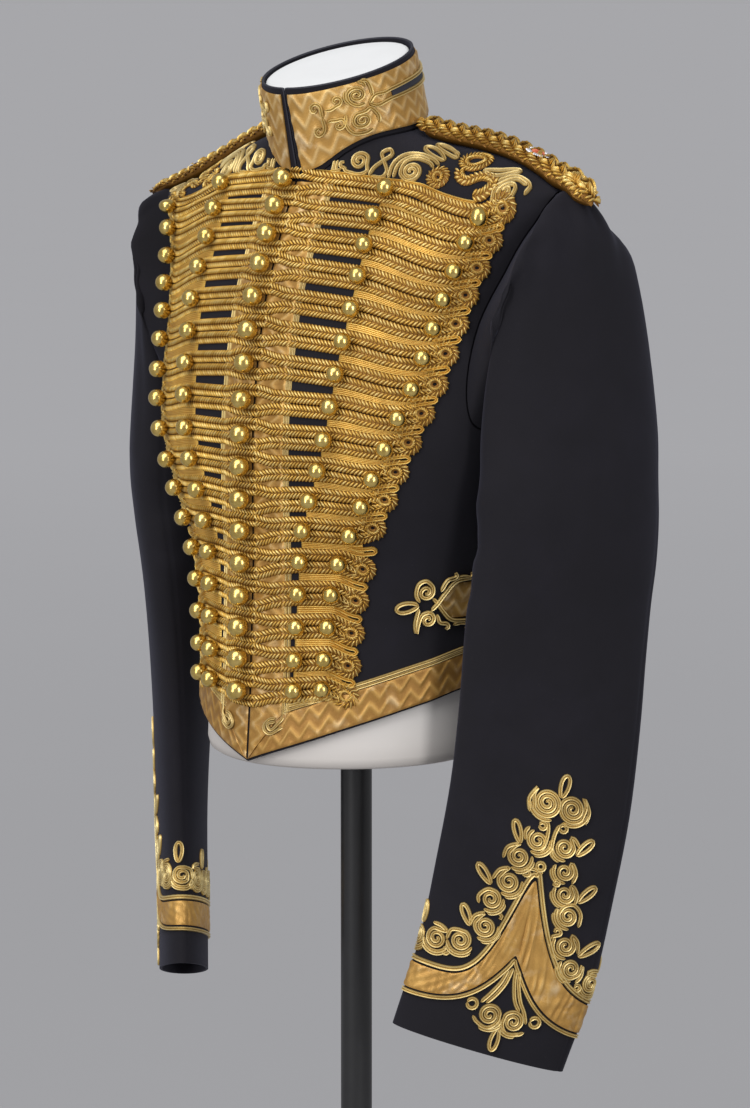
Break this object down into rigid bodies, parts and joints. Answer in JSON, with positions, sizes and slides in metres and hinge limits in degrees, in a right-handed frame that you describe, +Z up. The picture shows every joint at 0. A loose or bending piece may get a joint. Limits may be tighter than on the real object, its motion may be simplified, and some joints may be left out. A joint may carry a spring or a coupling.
{
  "type": "military dress tunic on dress form stand",
  "caption": "Waist-length hussar-style dress tunic with braid frogging, ball buttons and gold lace, standing on a limbless dress form with a pole and round base.",
  "frame": {"origin": "centre of the stand base's underside, on the floor", "axes": "+Z up along the pole, -Y the way the jacket's front faces, +X the wearer's left"},
  "size_m": [0.5012, 0.38, 1.27],
  "materials": {
    "navy_cloth": "milled wool cloth",
    "gold_lace": "woven gold lace with a raised zigzag",
    "gold_braid": "plaited gold braid with polished ball buttons",
    "silver_star": "embroidered silver wire",
    "white_form": "smooth satin white",
    "black_pole": "black satin paint"
  },
  "bodies": {
    "root": {"back_left": "navy_cloth", "back_right": "navy_cloth", "collar": "navy_cloth", "collar_lace_left": "gold_lace", "collar_lace_right": "gold_lace", "cuff_lace_left": "gold_lace", "cuff_lace_right": "gold_lace", "dress_form": "white_form", "frog_left_01": "gold_braid", "frog_left_02": "gold_braid", "frog_left_03": "gold_braid", "frog_left_04": "gold_braid", "frog_left_05": "gold_braid", "frog_left_06": "gold_braid", "frog_left_07": "gold_braid", "frog_left_08": "gold_braid", "frog_left_09": "gold_braid", "frog_left_10": "gold_braid", "frog_left_11": "gold_braid", "frog_left_12": "gold_braid", "frog_left_13": "gold_braid", "frog_left_14": "gold_braid", "frog_left_15": "gold_braid", "frog_left_16": "gold_braid", "frog_left_17": "gold_braid", "frog_right_01": "gold_braid", "frog_right_02": "gold_braid", "frog_right_03": "gold_braid", "frog_right_04": "gold_braid", "frog_right_05": "gold_braid", "frog_right_06": "gold_braid", "frog_right_07": "gold_braid", "frog_right_08": "gold_braid", "frog_right_09": "gold_braid", "frog_right_10": "gold_braid", "frog_right_11": "gold_braid", "frog_right_12": "gold_braid", "frog_right_13": "gold_braid", "frog_right_14": "gold_braid", "frog_right_15": "gold_braid", "frog_right_16": "gold_braid", "frog_right_17": "gold_braid", "front_lace_left": "gold_lace", "front_lace_right": "gold_lace", "front_left": "navy_cloth", "front_right": "navy_cloth", "hem_lace_left": "gold_lace", "hem_lace_right": "gold_lace", "hip_lace_left": "gold_lace", "hip_lace_right": "gold_lace", "pole": "black_pole", "shoulder_cord_left": "gold_braid", "shoulder_cord_right": "gold_braid", "shoulder_star_left": "silver_star", "shoulder_star_right": "silver_star", "sleeve_left": "navy_cloth", "sleeve_right": "navy_cloth", "stand_base": "black_pole"}
  },
  "joints": []
}
